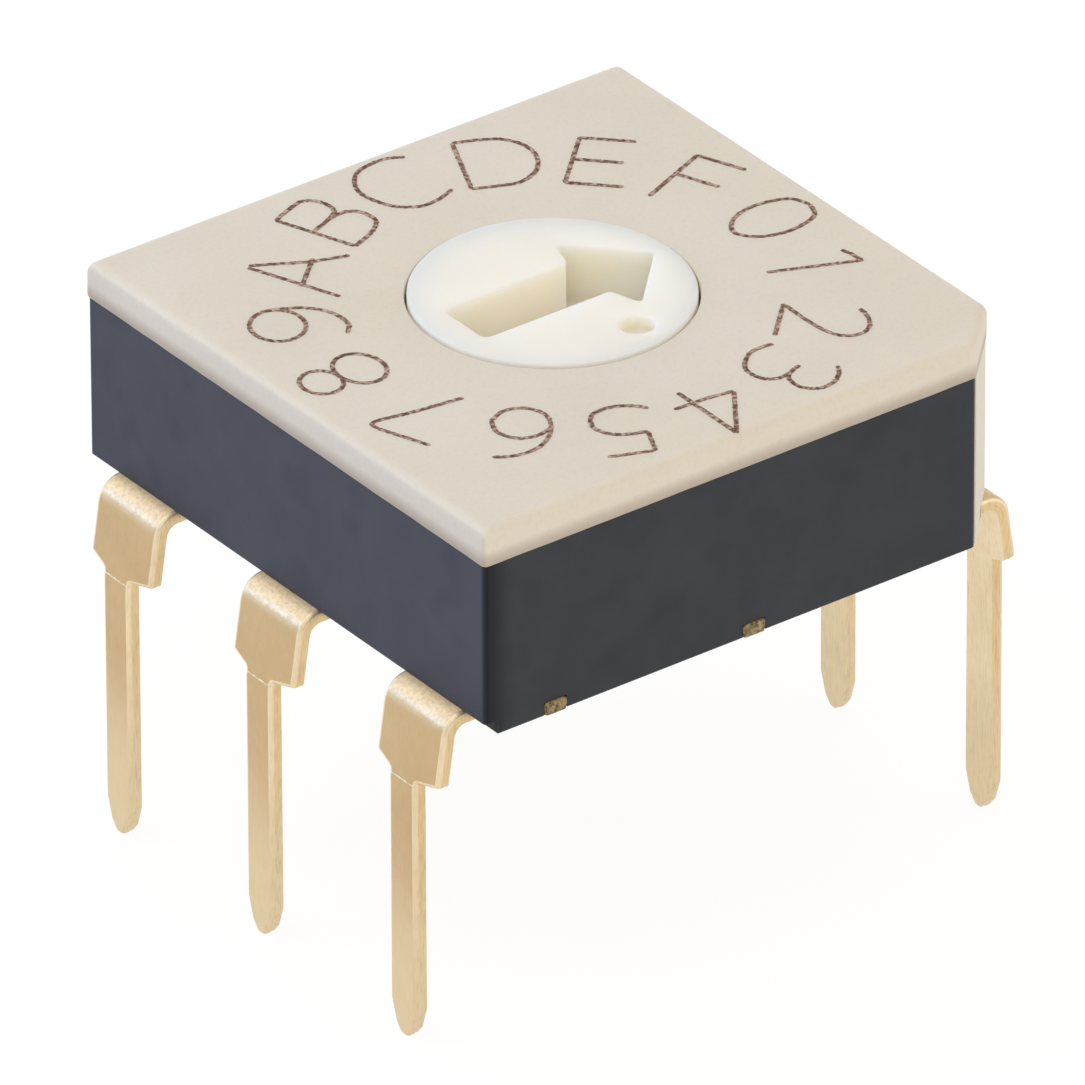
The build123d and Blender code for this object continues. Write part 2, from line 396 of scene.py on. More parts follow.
def cream_plastic(name, seam_shade_tone):
    """Matt cream thermoplastic of the cover, clouded, with painted shade towards the seam with the black base and
    on its left side.
    """
    finish = Finish(name, {
        "Specular IOR Level": 0.35, "Subsurface Weight": 0.25, "Subsurface Scale": 0.25 * MM,
        "Subsurface Radius": (1.0, 0.75, 0.5),
    })
    cloud = finish.ramp(finish.noise(1.6, 4, 0.55), (0.3, (0.685, 0.625, 0.533)), (0.7, (0.718, 0.658, 0.565)))
    fleck = finish.ramp(finish.noise(0.05, 2), (0.30, 0.96), (0.50, 1.0))
    # Painted shade: the cover's side darkens towards the seam with the base.
    seam = finish.along("Z", (base_top, 0.0), (cover_top - cover_edge, 1.0))
    seam_shade = finish.ramp(seam, (0.0, seam_shade_tone), (0.7, (1.0, 1.0, 1.0)))
    tone = finish.mix("MULTIPLY", 1.0, cloud, fleck)
    # Painted shade: the cover's left side is made darker and slightly bluer.
    left = finish.along("X", (cover_low.x + 0.005, 1.0), (cover_low.x + 0.040, 0.0))
    tone = finish.mix("MULTIPLY", left, tone, (0.85, 0.85, 0.89, 1))
    finish.link(finish.mix("MULTIPLY", 1.0, tone, seam_shade), "Base Color")
    finish.link(finish.ramp(finish.noise(0.4, 3), (0.3, 0.50), (0.7, 0.62)), "Roughness")
    broad = finish.bump(finish.noise(0.7, 3), 0.008, 0.4)
    finish.link(finish.bump(finish.noise(0.05, 3), 0.0012, 0.5, broad), "Normal")
    return finish.material


def white_plastic():
    """Off-white thermoplastic of the rotor, smoother and more translucent than the cover, with painted warm shade
    in its slot.
    """
    finish = Finish("white_plastic", {
        "Specular IOR Level": 0.4, "Subsurface Weight": 0.9, "Subsurface Scale": 0.65 * MM,
        "Subsurface Radius": (1.0, 0.84, 0.66),
    })
    cloud = finish.ramp(finish.noise(0.9, 4, 0.5), (0.3, (0.858, 0.820, 0.746)), (0.7, (0.882, 0.844, 0.770)))
    # Painted shade: the slot and the dot are tinted warmer and darker below the rotor's face.
    depth = finish.along("Z", (rotor_top - 0.12, 1.0), (rotor_top - 0.01, 0.0))
    finish.link(finish.mix("MULTIPLY", depth, cloud, (1.0, 0.988, 0.937, 1)), "Base Color")
    finish.link(finish.ramp(finish.noise(0.3, 3), (0.3, 0.42), (0.7, 0.54)), "Roughness")
    broad = finish.bump(finish.noise(0.5, 3), 0.005, 0.4)
    finish.link(finish.bump(finish.noise(0.04, 2), 0.001, 0.4, broad), "Normal")
    return finish.material


def black_plastic():
    """Black glass-filled thermoplastic of the base: smudges, worn edges, painted bluish light on the left face and
    painted shade on the front beside the corner.
    """
    finish = Finish("black_plastic", {})
    bloom = finish.ramp(finish.noise(1.3, 5, 0.6), (0.30, (0.008, 0.0102, 0.016)), (0.70, (0.012, 0.0150, 0.0235)))
    chips = finish.ramp(finish.noise(0.10, 4, 0.7), (0.35, 0.15), (0.65, 1.0))
    wear = finish.mix("MULTIPLY", 1.0, finish.edge_line(0.03), chips)
    # Painted light: the left face of the base is made lighter and bluish.
    left = finish.along("X", (-half_body + 0.01, 1.0), (-half_body + 0.03, 0.0))
    tone = finish.mix("MIX", left, bloom, (0.0205, 0.0250, 0.0450, 1))
    # Painted shade: the front face is darkened, and its reflection weakened, near the front corner.
    front = finish.along("Y", (-half_body + 0.01, 1.0), (-half_body + 0.10, 0.0))
    beside_corner = finish.along("X", (-half_body + 0.03, 1.0), (-half_body + 0.40, 0.0))
    front_corner_shade = finish.mix("MULTIPLY", 1.0, front, beside_corner)
    tone = finish.mix("MULTIPLY", front_corner_shade, tone, (0.45, 0.45, 0.45, 1))
    finish.link(finish.mix("MIX", wear, tone, (0.10, 0.10, 0.11, 1)), "Base Color")
    patches = finish.ramp(finish.noise(0.8, 4, 0.6, shift=3.0), (0.35, 0.41), (0.65, 0.49))
    finish.link(finish.mix("MIX", front_corner_shade, patches, (0.22, 0.22, 0.22, 1)), "Specular IOR Level")
    smudge = finish.ramp(finish.noise(0.55, 2, 0.4, shift=7.0), (0.30, 0.58), (0.45, 0.52), (0.7, 0.55))
    finish.link(smudge, "Roughness")
    broad = finish.bump(finish.noise(0.6, 3), 0.006, 0.4, finish.soft_edges(0.03))
    finish.link(finish.bump(finish.noise(0.035, 2), 0.002, 0.6, broad), "Normal")
    return finish.material


def gold_plating(name, dark, light, streak, roughness, cloud=0.8):
    """Satin gold plating over the stamped strip, paler towards the tips as painted light, with fine lines along
    the pins.
    """
    finish = Finish(name, {"Metallic": 1.0})
    tone = finish.ramp(finish.noise(cloud, 4, 0.6), (0.3, dark), (0.7, light))
    # Painted light: the lower legs are made paler, as if they caught more light.
    tone = finish.mix("MIX", finish.along("Z", (0.6, 1.0), (2.6, 0.0)), tone, (0.740, 0.590, 0.375, 1))
    lines = finish.noise(0.02, 3, 0.65, stretch=(1, 1, 10))
    tone = finish.mix("MULTIPLY", 1.0, tone, finish.ramp(lines, (0.30, 1.0 - streak), (0.55, 1.0)))
    rolled = finish.bump(lines, 0.0015, 0.5)
    finish.link(tone, "Base Color")
    finish.link(finish.ramp(finish.noise(0.12, 4), (0.3, roughness), (0.7, roughness + 0.12)), "Roughness")
    finish.link(rolled, "Normal")
    return finish, tone, rolled


def formed_gold():
    """Gold plating of the strip's outer face: frosted, with a painted highlight over the bends and a broken
    painted highlight along the crease below.
    """
    finish, tone, rolled = gold_plating("gold_plating", (0.570, 0.405, 0.218), (0.620, 0.450, 0.250), 0.05, 0.34)
    grain = finish.noise(0.045, 3, 0.7)
    height = finish.mix("LINEAR_LIGHT", 0.10, finish.along("Z", (3.93, 0.0), (4.12, 1.0)), grain)
    bent = finish.ramp(height, (0.05, 0.0), (0.30, 1.0))
    # Painted highlight over the bend, brightest at its lower edge, broken by the real frosted grain.
    frost_and_highlight = finish.ramp(height, (0.25, (0.95, 0.79, 0.60)), (0.60, (0.93, 0.70, 0.42)))
    frost_and_highlight = finish.mix("MULTIPLY", 1.0, frost_and_highlight, finish.ramp(grain, (0.32, 0.74), (0.60, 1.0)))
    tone = finish.mix("MIX", bent, tone, frost_and_highlight)
    # Painted highlight: a broken bright line along the pressed crease.
    crease = finish.ramp(finish.along("Z", (3.05, 0.0), (3.25, 1.0)), (0.42, 0.0), (0.50, 1.0), (0.58, 0.0))
    broken = finish.ramp(finish.noise(0.09, 3, 0.6), (0.44, 0.0), (0.56, 1.0))
    crease = finish.mix("MULTIPLY", 1.0, crease, broken)
    finish.link(finish.mix("MIX", crease, tone, (0.92, 0.80, 0.58, 1)), "Base Color")
    finish.link(finish.ramp(bent, (0.0, 1.0), (1.0, 0.35)), "Metallic")
    finish.link(finish.bump(finish.mix("MULTIPLY", 1.0, grain, bent), 0.006, 1.0, rolled), "Normal")
    return finish.material


def spring_steel():
    """Rolled stainless strip of the click spring."""
    finish = Finish("spring_steel", {"Metallic": 1.0})
    streak = finish.noise(0.03, 3, 0.6, stretch=(8, 8, 1))
    finish.link(finish.ramp(streak, (0.3, (0.50, 0.50, 0.51)), (0.7, (0.66, 0.66, 0.67))), "Base Color")
    finish.link(finish.ramp(streak, (0.3, 0.28), (0.7, 0.42)), "Roughness")
    finish.link(finish.bump(streak, 0.001, 0.5), "Normal")
    return finish.material


def black_rubber():
    """Dull nitrile rubber of the sealing ring."""
    finish = Finish("black_rubber", {"Specular IOR Level": 0.3})
    bloom = finish.noise(0.4, 4, 0.6)
    finish.link(finish.ramp(bloom, (0.3, (0.012, 0.012, 0.013)), (0.7, (0.026, 0.026, 0.028))), "Base Color")
    finish.link(finish.ramp(bloom, (0.3, 0.62), (0.7, 0.80)), "Roughness")
    finish.link(finish.bump(finish.noise(0.04, 3), 0.003, 0.6), "Normal")
    return finish.material


def laser_mark():
    """Brown laser mark: a row of small burns, darker at each pulse."""
    finish = Finish("laser_mark", {"Specular IOR Level": 0.2})
    burn = finish.ramp(
        finish.noise(0.050, 2, 0.55),
        (0.36, (0.115, 0.056, 0.040)), (0.50, (0.245, 0.148, 0.112)), (0.63, (0.500, 0.375, 0.300)),
    )
    finish.link(burn, "Base Color")
    finish.link(finish.ramp(finish.noise(0.05, 2), (0.3, 0.7), (0.7, 0.9)), "Roughness")
    finish.link(finish.bump(finish.noise(0.03, 2), 0.003, 0.7), "Normal")
    return finish.material


# The cover's side gets the painted seam shade; its leg gets none.
cream = cream_plastic("cream_plastic", (0.66, 0.61, 0.57))
leg_cream = cream_plastic("cream_leg", (1.0, 1.0, 1.0))
white = white_plastic()
black = black_plastic()
gold = formed_gold()
# Painted highlight and light: paler gold for the rolled-over edges and the inner faces.
painted_bright_gold = gold_plating("gold_painted_bright", (0.800, 0.640, 0.410), (0.900, 0.745, 0.510), 0.14, 0.36)[0].material
torn_gold = gold_plating("gold_torn", (0.060, 0.040, 0.020), (0.560, 0.440, 0.250), 0.20, 0.50, 0.05)[0].material
# Sheared edge faces: a torn streaky finish, with a paler gold than the outer face as painted light.
sheared_gold_lightened = gold_plating("gold_sheared_lightened", (0.700, 0.520, 0.280), (0.800, 0.610, 0.350), 0.20, 0.36)[0].material
golds = [gold, painted_bright_gold, torn_gold, sheared_gold_lightened]
steel = spring_steel()
rubber = black_rubber()
burnt = laser_mark()


# Base, code disc, click spring and sealing ring keep their CAD solids

for node, material in (
    ("base_housing", black), ("code_disc", gold), ("click_spring", steel), ("seal_ring", rubber),
):
    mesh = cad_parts[node].data
    mesh.materials.clear()
    mesh.materials.append(material)


# Cover

def body_corners(radius):
    """Plan of the base: a square with its (+X, -Y) corner cut off."""
    half = half_body
    cut = half_body - corner_cut
    plan = [(-half, -half), (cut, -half), (half, -cut), (half, half), (-half, half)]
    return [(x, y, radius) for x, y in plan]


def ragged_edge(verts, size, amount):
    """Shift vertices a little sideways, as the edge of a moulding does."""
    for vert in verts:
        shift = noise.noise_vector(vert.co / size) * amount
        vert.co += Vector((shift.x, shift.y, 0))


leg_relief = 0.008


def add_leg(bm):
    """Leg down the cut corner, just behind the plate's side. Its foot passes beside the blade."""
    diagonal = cos(radians(45))
    face = (2 * half_body - corner_cut) * diagonal + overhang - leg_relief
    half = corner_cut * diagonal - leg_margin
    leg_bottom = underside + leg_end
    head = base_top + cover_edge
    side_view = [
        (-half, head), (-half, cover_low.z), (foot_side, cover_low.z), (foot_side, leg_bottom),
        (half, leg_bottom), (half, head),
    ]
    turn = Matrix.Rotation(radians(-45), 2)
    sides = []
    for x in (face - leg_thickness, face):
        sides.append([bm.verts.new((*(turn @ Vector((x, y))), z)) for y, z in side_view])
    add_wall(bm, sides, index=1)
    for side in sides:
        bm.faces.new(side).material_index = 1


def make_cover():
    """Plate with the bore, the plug that enters the base and the leg down the cut corner."""
    bm = bmesh.new()
    loops = []
    for inward, down in quarter(6):
        corner = cover_corner + (cover_top_corner - cover_corner) * inward
        plan = rounded(body_corners(corner - overhang), inward * cover_edge - overhang, steps=8, run=0.12)
        loops.append(add_loop(bm, plan, cover_top - down * cover_edge))
    corners = body_corners(cover_corner - overhang)
    side = rounded(corners, -overhang, steps=8, run=0.12)
    foot_radius = 0.02
    for share in (0.35, 0.7):
        height = (cover_top - cover_edge) * (1 - share) + (base_top + foot_radius) * share
        loops.append(add_loop(bm, side, height))
    loops.append(add_loop(bm, side, base_top + foot_radius))
    foot = rounded(corners, foot_radius * 0.6 - overhang, steps=8, run=0.12)
    loops.append(add_loop(bm, foot, base_top))
    add_wall(bm, loops)
    for loop in loops[4:]:
        ragged_edge(loop, 0.3, 0.006)

    bore = []
    for inward, down in quarter(4):
        bore.append(add_loop(bm, circle(bore_radius + inward * bore_edge), cover_top - down * bore_edge))
    for loop in bore:
        ragged_edge(loop, 0.25, 0.004)
    bore.append(add_loop(bm, circle(bore_radius), base_top))
    add_wall(bm, bore)
    add_flat(bm, loops[0], bore[0])

    inner = [add_loop(bm, circle(plug_inner_radius), z) for z in (base_top, plug_bottom)]
    add_wall(bm, inner)
    add_flat(bm, inner[0], bore[-1])
    outer = [add_loop(bm, circle(plug_radius), z) for z in (plug_bottom, base_top)]
    add_wall(bm, outer)
    add_flat(bm, outer[0], inner[1])

    add_flat(bm, loops[-1], outer[1])
    add_leg(bm)
    return make_piece("cover_moulding", bm, "housing", [cream, leg_cream], ["cover"])


# Rotor

def notched_corners():
    """Plan of the flange: a crest between every two click positions."""
    corners = []
    for step in range(2 * positions):
        radius = flange_crest if step % 2 else flange_crest - notch_depth
        angle = pi * step / positions
        corners.append((radius * cos(angle), radius * sin(angle), notch_rounding))
    return corners


def slot_corners():
    """Plan of the arrow-shaped driver slot, rounder along its shaft than at the arrow."""
    return [
        (slot_start, -slot_half_width, shaft_rounding), (slot_neck, -slot_half_width, shaft_rounding),
        (barb_x, -barb_y, arrow_rounding), (arrow_tip, 0, arrow_rounding), (barb_x, barb_y, arrow_rounding),
        (slot_neck, slot_half_width, shaft_rounding), (slot_start, slot_half_width, shaft_rounding),
    ]


def sunk_loops(bm, plan, edge, depth, floor_rounding):
    """Loops of a recess in the rotor's face, from its rounded rim down to its floor."""
    loops = []
    for inward, down in quarter(3):
        loops.append(add_loop(bm, plan(-inward * edge), rotor_top - down * edge))
    for loop in loops:
        ragged_edge(loop, 0.2, 0.004)
    floor = rotor_top - depth
    for inward, down in reversed(quarter(3)):
        loops.append(add_loop(bm, plan(inward * floor_rounding), floor + down * floor_rounding))
    add_wall(bm, loops)
    add_flat(bm, loops[-1])
    return loops


def keyed_plan(radius, flat):
    """Round plan with one flat on the +X side."""
    half_angle = atan2((radius ** 2 - flat ** 2) ** 0.5, flat)
    count = 48
    return [
        Vector((radius * cos(a), radius * sin(a)))
        for a in (half_angle + (2 * pi - 2 * half_angle) * k / count for k in range(count + 1))
    ]


def make_rotor():
    """Neck with the driver slot, notched flange, keyed hub and pivot."""
    bm = bmesh.new()
    neck = []
    for inward, down in quarter(5):
        neck.append(add_loop(bm, circle(neck_radius - inward * rotor_edge), rotor_top - down * rotor_edge))
    neck.append(add_loop(bm, circle(neck_radius), flange_top))
    add_wall(bm, neck)
    slot = sunk_loops(bm, lambda inset: rounded(slot_corners(), inset, run=0.06), slot_edge, slot_depth,
                      slot_floor_rounding)
    dot = sunk_loops(bm, lambda inset: circle(dot_radius - inset, 40, dot_x, dot_y), dot_edge, dot_depth,
                     0.03)
    add_flat(bm, neck[0], slot[0], dot[0])

    rim = [add_loop(bm, rounded(notched_corners()), z) for z in (flange_top, flange_bottom)]
    add_wall(bm, rim)
    add_flat(bm, rim[0], neck[-1])
    hub = [add_loop(bm, keyed_plan(hub_radius, hub_flat), z) for z in (flange_bottom, disc_low.z)]
    add_wall(bm, hub)
    add_flat(bm, rim[1], hub[0])
    pivot = [add_loop(bm, circle(pivot_radius, 48), z) for z in (disc_low.z, rotor_low.z)]
    add_wall(bm, pivot)
    add_flat(bm, hub[1], pivot[0])
    add_flat(bm, pivot[1])
    return make_piece("rotor_moulding", bm, "rotor", [white], ["rotor"])


# Terminals: cut flat, then bent

def unrolled(z):
    """Distance from the middle of the flat strip to what lies at height z on the shoulder or the leg."""
    if z < leg_top:
        return leg_start + leg_top - z
    return slope_start + (slope_top - z) / cos(lean)


def blade_corners():
    """One blade of the flat strip on the -X side, from its +Y root round the tip to its -Y root."""
    shoulder_low = underside - shoulder_drop
    half_leg = leg_width / 2
    upper = [
        (blade_root, blade_far, 0), (unrolled(shoulder_low), blade_far, 0.05),
        (unrolled(shoulder_low - shoulder_slope), half_leg, 0.04), (unrolled(tip_height), half_leg, 0.10),
        (unrolled(tip_shoulder), tip_shoulder_width / 2, 0.06), (unrolled(0), tip_flat / 2, 0.045),
    ]
    scale = blade_near / blade_far
    lower = [(s, v * scale if v == blade_far else -v, r) for s, v, r in reversed(upper)]
    return [(-s, v, r) for s, v, r in upper + lower]


def shifted(corners, y):
    """Corners moved along Y."""
    return [(cx, cy + y, r) for cx, cy, r in corners]


def tab(x0, x1, edge, end):
    """Corners of a tab that stands out of an edge, walked from x0 to x1."""
    return [(x0, edge, 0), (x0, end, stub_rounding), (x1, end, stub_rounding), (x1, edge, 0)]


def corner_pattern(bit, row_end, with_tie_bar):
    """Flat pattern of a corner terminal of the -X row."""
    pin_y = row_end * pin_spacing
    inner_x = finger_half_width - bit_radius[bit]
    riser_x = inner_x - 2 * finger_half_width
    edges = {1: pin_y + plate_half_width, -1: pin_y - plate_half_width}
    inward = -row_end
    bar = (-tie_bar_x - tie_bar_half_width, -tie_bar_x + tie_bar_half_width)
    frame_side = [(-blade_root, edges[inward], 0), (riser_x, edges[inward], 0),
                  (riser_x, row_end * bit_root[bit], 0), (inner_x, row_end * bit_root[bit], 0)]
    far_side = [(inner_x, edges[row_end], 0)]
    if with_tie_bar:
        far_side += tab(bar[1], bar[0], edges[row_end], row_end * bar_end)
    far_side.append((-blade_root, edges[row_end], 0))
    blade = shifted(blade_corners(), pin_y)
    plate = frame_side + far_side
    if inward == 1:
        plate = plate[::-1]
    return anticlockwise(blade + plate)


def common_pattern():
    """Flat pattern of the stamping with both middle pins."""
    bar = tie_bar_half_width
    half = [(-bar, bar_end, stub_rounding), (-bar, plate_half_width, 0), (-blade_root, plate_half_width, 0)]
    half += blade_corners()
    half += [(-blade_root, -plate_half_width, 0), (-bar, -plate_half_width, 0), (-bar, -bar_end, stub_rounding)]
    return anticlockwise(half + [(-x, -y, r) for x, y, r in half])


def cut_flat(bm, corners):
    """Stamp the flat pattern: rolled-over upper edge, straight cut, then a slightly torn lower part."""
    loops = []
    for inward, down in quarter(4):
        loops.append(add_loop(bm, rounded(corners, inward * rollover), sheet_top - down * rollover))
    loops.append(add_loop(bm, rounded(corners), sheet_top - fracture_depth))
    loops.append(add_loop(bm, rounded(corners, fracture_inset), sheet_top - fracture_depth - fracture_inset))
    loops.append(add_loop(bm, rounded(corners, fracture_inset), underside))
    # Painted light: the rolled-over edge and the inner face take the paler gold, the cut below it the lightened
    # sheared gold.
    add_wall(bm, loops[:5], index=1)
    add_wall(bm, loops[4:], index=3)
    add_flat(bm, loops[0])
    add_flat(bm, loops[-1], index=1)
    for face in bm.faces:
        if all(abs(vert.co.y) > bar_end - stub_rounding for vert in face.verts):
            face.material_index = 2


def cut_across(bm, distance):
    """Add an edge line across the blades at a distance from the middle of the flat strip."""
    for side in (1, -1):
        bmesh.ops.bisect_plane(
            bm, geom=bm.verts[:] + bm.edges[:] + bm.faces[:], dist=1e-6,
            plane_co=(side * distance, 0, 0), plane_no=(side, 0, 0),
        )


def after_bends(distance, depth):
    """Place outward and up of a point of the strip at a depth under its outer face."""
    out = bend_start
    up = sheet_top
    slope = 0.0
    left = distance - bend_start
    for turn, straight in ((first_turn, slope_length), (lean, left)):
        turned = min(left / bend_radius, turn)
        out += bend_radius * (sin(slope + turned) - sin(slope))
        up -= bend_radius * (cos(slope) - cos(slope + turned))
        slope += turned
        left -= bend_radius * turned
        run = min(left, straight)
        out += run * cos(slope)
        up -= run * sin(slope)
        left -= run
    return out - depth * sin(slope), up - depth * cos(slope)


def bend_down(bm):
    """Bend the blades down on both sides: a leaning shoulder, then a knee and an upright leg."""
    for vert in bm.verts:
        distance = abs(vert.co.x)
        if distance > bend_start:
            out, up = after_bends(distance, sheet_top - vert.co.z)
            vert.co.x = out if vert.co.x > 0 else -out
            vert.co.z = up


def press_crease(bm, distance):
    """Press the fine line that the forming tool leaves across each leg."""
    for offset in (-crease_half_width, 0, crease_half_width):
        cut_across(bm, distance + offset)
    for vert in bm.verts:
        if abs(abs(vert.co.x) - distance) < 1e-4 and vert.co.z > sheet_top - rollover:
            vert.co.z -= crease_depth


def rounded_path(points, radius, steps=5):
    """Open path with its inner corners rounded."""
    result = [Vector(points[0])]
    for before, here, after in zip(points, points[1:], points[2:]):
        before, here, after = Vector(before), Vector(here), Vector(after)
        into = (here - before).normalized()
        out = (after - here).normalized()
        turn = atan2(into.cross(out), into.dot(out))
        reach = radius * tan(abs(turn) / 2)
        side = 1 if turn > 0 else -1
        normal = Vector((-into.y, into.x)) * side
        centre = here - into * reach + normal * radius
        for k in range(steps + 1):
            result.append(centre + Matrix.Rotation(turn * k / steps, 2) @ (-normal * radius))
    return result + [Vector(points[-1])]


def add_strip(bm, x, half_width, path, thickness, side):
    """Strip that follows a path in Y and Z, with its thickness to one side."""
    loops = []
    for i, point in enumerate(path):
        before = path[max(i - 1, 0)]
        after = path[min(i + 1, len(path) - 1)]
        along = (after - before).normalized()
        back = point + Vector((-along.y, along.x)) * side * thickness
        section = [(x - half_width, point), (x + half_width, point), (x + half_width, back),
                   (x - half_width, back)]
        loops.append([bm.verts.new((sx, p.x, p.y)) for sx, p in section])
    add_wall(bm, loops)
    bm.faces.new(loops[0][::-1])
    bm.faces.new(loops[-1])


def add_finger(bm, x, root_y, contact_y):
    """Riser out of the plate at root_y and the finger from it to the disc at contact_y."""
    way = 1 if root_y > contact_y else -1
    riser = [Vector((root_y, underside + sheet / 2)), Vector((root_y, finger_root))]
    add_strip(bm, x, finger_half_width, riser, sheet, -way)
    reach = [
        (root_y + way * sheet, finger_root), (root_y - way * sheet, finger_root),
        (contact_y, contact_level), (contact_y - way * finger_end, contact_level - finger_end_drop),
    ]
    add_strip(bm, x, finger_half_width, rounded_path(reach, finger_bend), finger_sheet, way)


def make_terminal(name, corners, fingers, half_turn=False):
    """Cut, crease and bend one stamping and add its contact fingers."""
    bm = bmesh.new()
    cut_flat(bm, corners)
    press_crease(bm, unrolled(crease_height))
    for step in range(bend_steps + 1):
        cut_across(bm, bend_start + bend_radius * first_turn * step / bend_steps)
    for step in range(knee_steps + 1):
        cut_across(bm, knee_start + bend_radius * lean * step / knee_steps)
    bend_down(bm)
    for x, root_y, contact_y in fingers:
        add_finger(bm, x, root_y, contact_y)
    if half_turn:
        bmesh.ops.rotate(bm, matrix=Matrix.Rotation(pi, 3, "Z"), verts=bm.verts)
    return make_piece(name + "_stamping", bm, "housing", golds, [name], crease=40)


def make_terminals():
    """The five stampings."""
    for bit, row_end, with_tie_bar, half_turn in (
        (1, 1, False, False), (2, -1, True, False), (4, -1, True, True), (8, 1, False, True),
    ):
        fingers = [(-bit_radius[bit], row_end * bit_root[bit], 0)]
        make_terminal(f"terminal_{bit}", corner_pattern(bit, row_end, with_tie_bar), fingers, half_turn)
    fingers = [(0, way * common_root, way * common_contact) for way in (1, -1)]
    make_terminal("common_terminal", common_pattern(), fingers)


# Dial marks, single-line characters. Places are (u, v): u to the right, v outward from the rotor's axis

mark_half_width = 0.026
mark_rise = 0.003
mark_root = 0.02
mark_step = 0.02


def line(*points):
    """Straight stroke."""
    path = []
    for start, end in zip(points, points[1:]):
        start, end = Vector(start), Vector(end)
        parts = max(1, round((end - start).length / mark_step))
        path += [start.lerp(end, k / parts) for k in range(parts)]
    return path + [Vector(points[-1])], False


def curve(*points):
    """Smooth stroke through its points."""
    places = [Vector(p) for p in points]
    places = [2 * places[0] - places[1]] + places + [2 * places[-1] - places[-2]]
    path = []
    for a, b, c, d in zip(places, places[1:], places[2:], places[3:]):
        parts = max(2, round((c - b).length / mark_step))
        for k in range(parts):
            t = k / parts
            path.append(0.5 * (2 * b + (c - a) * t + (2 * a - 5 * b + 4 * c - d) * t ** 2
                               + (3 * b - a - 3 * c + d) * t ** 3))
    return path + [places[-2]], False


def oval(u, v, half_width, half_height):
    """Closed round stroke."""
    count = round(2 * pi * max(half_width, half_height) / mark_step)
    return [
        Vector((u + half_width * cos(2 * pi * k / count), v + half_height * sin(2 * pi * k / count)))
        for k in range(count)
    ], True


marks = {
    "0": [curve((0.145, 3.29), (0.36, 3.19), (0.455, 2.92), (0.45, 2.66), (0.35, 2.42), (0.145, 2.29),
                (-0.06, 2.42), (-0.165, 2.66), (-0.165, 2.92), (-0.07, 3.19), (0.145, 3.29))],
    "1": [curve((-0.11, 3.17), (0.0, 3.25), (0.15, 3.32)), line((0.155, 3.34), (0.15, 2.29))],
    "2": [curve((-0.12, 3.24), (0.0, 3.33), (0.20, 3.39), (0.38, 3.33), (0.455, 3.17), (0.41, 2.99),
                (0.22, 2.75), (-0.09, 2.45)), line((-0.11, 2.435), (0.55, 2.43))],
    "3": [curve((-0.21, 3.34), (-0.08, 3.43), (0.10, 3.47), (0.28, 3.41), (0.36, 3.23), (0.28, 3.04),
                (0.14, 2.98), (-0.02, 2.99)),
          curve((0.16, 2.99), (0.34, 2.92), (0.41, 2.76), (0.33, 2.54), (0.07, 2.42), (-0.12, 2.45),
                (-0.26, 2.53))],
    "4": [line((0.19, 3.45), (-0.29, 2.77)), line((-0.29, 2.76), (0.0, 2.715), (0.43, 2.69)),
          line((0.2, 3.44), (0.195, 2.44))],
    "5": [line((0.28, 3.415), (-0.23, 3.41)), line((-0.235, 3.41), (-0.255, 3.01)),
          curve((-0.255, 3.01), (-0.05, 3.02), (0.16, 2.95), (0.28, 2.77), (0.22, 2.54), (0.02, 2.44),
                (-0.20, 2.455), (-0.38, 2.55))],
    "6": [curve((0.14, 3.43), (-0.08, 3.37), (-0.27, 3.22), (-0.37, 3.0), (-0.375, 2.72), (-0.28, 2.49),
                (-0.06, 2.39), (0.16, 2.48), (0.26, 2.70)),
          curve((0.26, 2.70), (0.16, 2.92), (-0.06, 3.01), (-0.26, 2.93), (-0.37, 2.76))],
    "7": [line((-0.50, 3.34), (0.14, 3.32)),
          curve((0.14, 3.32), (0.24, 3.28), (0.22, 3.17), (0.0, 2.84), (-0.30, 2.33))],
    "8": [oval(-0.02, 3.03, 0.245, 0.225), oval(-0.03, 2.54, 0.320, 0.265)],
    "9": [oval(0.075, 2.955, 0.325, 0.295),
          curve((0.395, 3.06), (0.405, 2.84), (0.35, 2.56), (0.19, 2.34), (-0.06, 2.23), (-0.26, 2.28))],
    "A": [line((-0.37, 2.20), (0.09, 3.25)), line((0.13, 3.25), (0.30, 2.62), (0.49, 2.23)),
          line((-0.22, 2.63), (0.37, 2.605))],
    "B": [line((-0.165, 3.30), (-0.20, 2.30)),
          curve((-0.165, 3.30), (0.10, 3.30), (0.32, 3.27), (0.405, 3.09), (0.33, 2.88), (0.12, 2.83),
                (-0.18, 2.835)),
          curve((0.16, 2.83), (0.36, 2.76), (0.44, 2.60), (0.36, 2.38), (0.12, 2.30), (-0.20, 2.295))],
    "C": [curve((0.47, 3.24), (0.32, 3.32), (0.13, 3.34), (-0.13, 3.28), (-0.31, 3.07), (-0.36, 2.83),
                (-0.26, 2.50), (-0.06, 2.32), (0.13, 2.29), (0.31, 2.33), (0.46, 2.39))],
    "D": [line((-0.25, 3.33), (-0.285, 2.34)),
          curve((-0.25, 3.33), (0.02, 3.33), (0.28, 3.28), (0.48, 3.10), (0.55, 2.83), (0.47, 2.54),
                (0.25, 2.35), (0.0, 2.33), (-0.285, 2.335))],
    "E": [line((-0.18, 3.285), (-0.20, 2.32)), line((-0.18, 3.285), (0.43, 3.28)),
          line((-0.19, 2.825), (0.36, 2.815)), line((-0.20, 2.32), (0.43, 2.31))],
    "F": [line((-0.155, 3.28), (-0.155, 2.27)), line((-0.155, 3.27), (0.45, 3.265)),
          line((-0.155, 2.82), (0.39, 2.81))],
}


